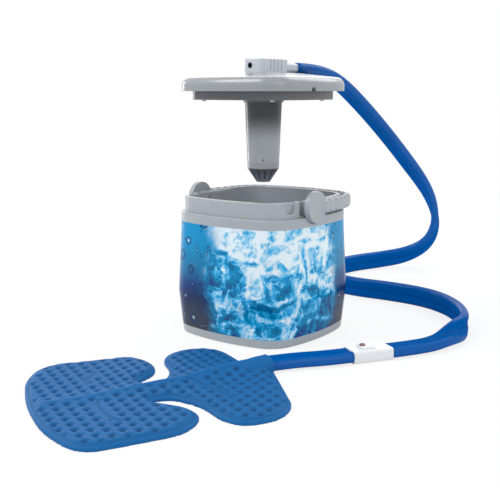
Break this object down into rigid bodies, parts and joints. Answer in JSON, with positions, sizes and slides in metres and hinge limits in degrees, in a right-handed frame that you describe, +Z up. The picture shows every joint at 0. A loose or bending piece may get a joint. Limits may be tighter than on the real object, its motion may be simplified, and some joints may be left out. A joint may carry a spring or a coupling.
{
  "type": "cold therapy machine",
  "caption": "Rounded-square insulated bucket with a bail handle, a lid with a hanging pump held above it, a flat blue hose with a quick coupling, and a dimpled water pad.",
  "frame": {"origin": "middle of the bucket, at the face of its central foot, on the surface that it stands on", "axes": "+Z up; -Y the side that the power jack faces, +Y the side where the hose leaves the lid; +X to the right seen from the front"},
  "size_m": [0.4037, 1.0841, 0.4055],
  "materials": {
    "satin_grey": "satin",
    "liner_grey": "satin",
    "dark_grey": "satin",
    "shell_plastic": "satin",
    "printed_film": "glossy",
    "foam": "matt",
    "black_rubber": "matt",
    "steel": "brushed",
    "hose_blue": "satin",
    "pad_blue": "soft satin",
    "coupling_white": "satin",
    "button_red": "satin",
    "jack_black": "satin",
    "board_green": "satin",
    "pump_white": "satin",
    "clear_tube": "satin"
  },
  "bodies": {
    "bucket": {"base_tray": "satin_grey", "base_screws": "steel", "rubber_feet": "black_rubber", "outer_shell": "shell_plastic", "label_sleeve": "printed_film", "insulation_foam": "foam", "inner_liner": "liner_grey", "rim_band": "satin_grey", "pivot_pins": "steel", "hose_drop": "hose_blue", "hose_upper_twist": "hose_blue", "hose_floor_run": "hose_blue", "hose_lower_twist": "hose_blue", "hose_coupling_end": "hose_blue", "coupling_plug": "coupling_white", "coupling_socket": "coupling_white", "coupling_seals": "black_rubber", "button_bush": "black_rubber", "pad_hose": "hose_blue", "pad_boot": "pad_blue", "therapy_pad": "pad_blue"},
    "handle": {"handle_bail": "satin_grey"},
    "lid": {"lid_cover": "satin_grey", "lid_inner_panel": "satin_grey", "lid_foam": "foam", "lid_gasket": "black_rubber", "lid_screws": "steel", "pump_head": "satin_grey", "head_screws": "steel", "power_jack": "jack_black", "driver_board": "board_green", "outlet_fitting": "satin_grey", "supply_tube": "clear_tube", "return_tube": "clear_tube", "pump_column": "satin_grey", "intake_nose": "dark_grey", "filter_screen": "dark_grey", "pump_volute": "pump_white", "pump_motor": "pump_white"},
    "impeller": {"impeller": "pump_white", "motor_shaft": "steel"},
    "release_button": {"release_button": "button_red"}
  },
  "joints": [
    {"name": "lid_lift", "type": "slide", "parent": "bucket", "child": "lid", "axis": [0, 0, 1], "range_m": [-0.161, 0]},
    {"name": "handle_swing", "type": "hinge", "parent": "bucket", "child": "handle", "pos_m": [0, -0.02, 0.198], "axis": [1, 0, 0], "range_deg": [0, 60]},
    {"name": "impeller_spin", "type": "hinge", "parent": "lid", "child": "impeller", "pos_m": [0, 0, 0.25], "axis": [0, 0, 1], "continuous": true},
    {"name": "button_press", "type": "slide", "parent": "bucket", "child": "release_button", "axis": [0, 0, -1], "range_m": [0, 0.0015], "stiffness_N_per_m": 400, "deforming": ["button_bush"]}
  ]
}
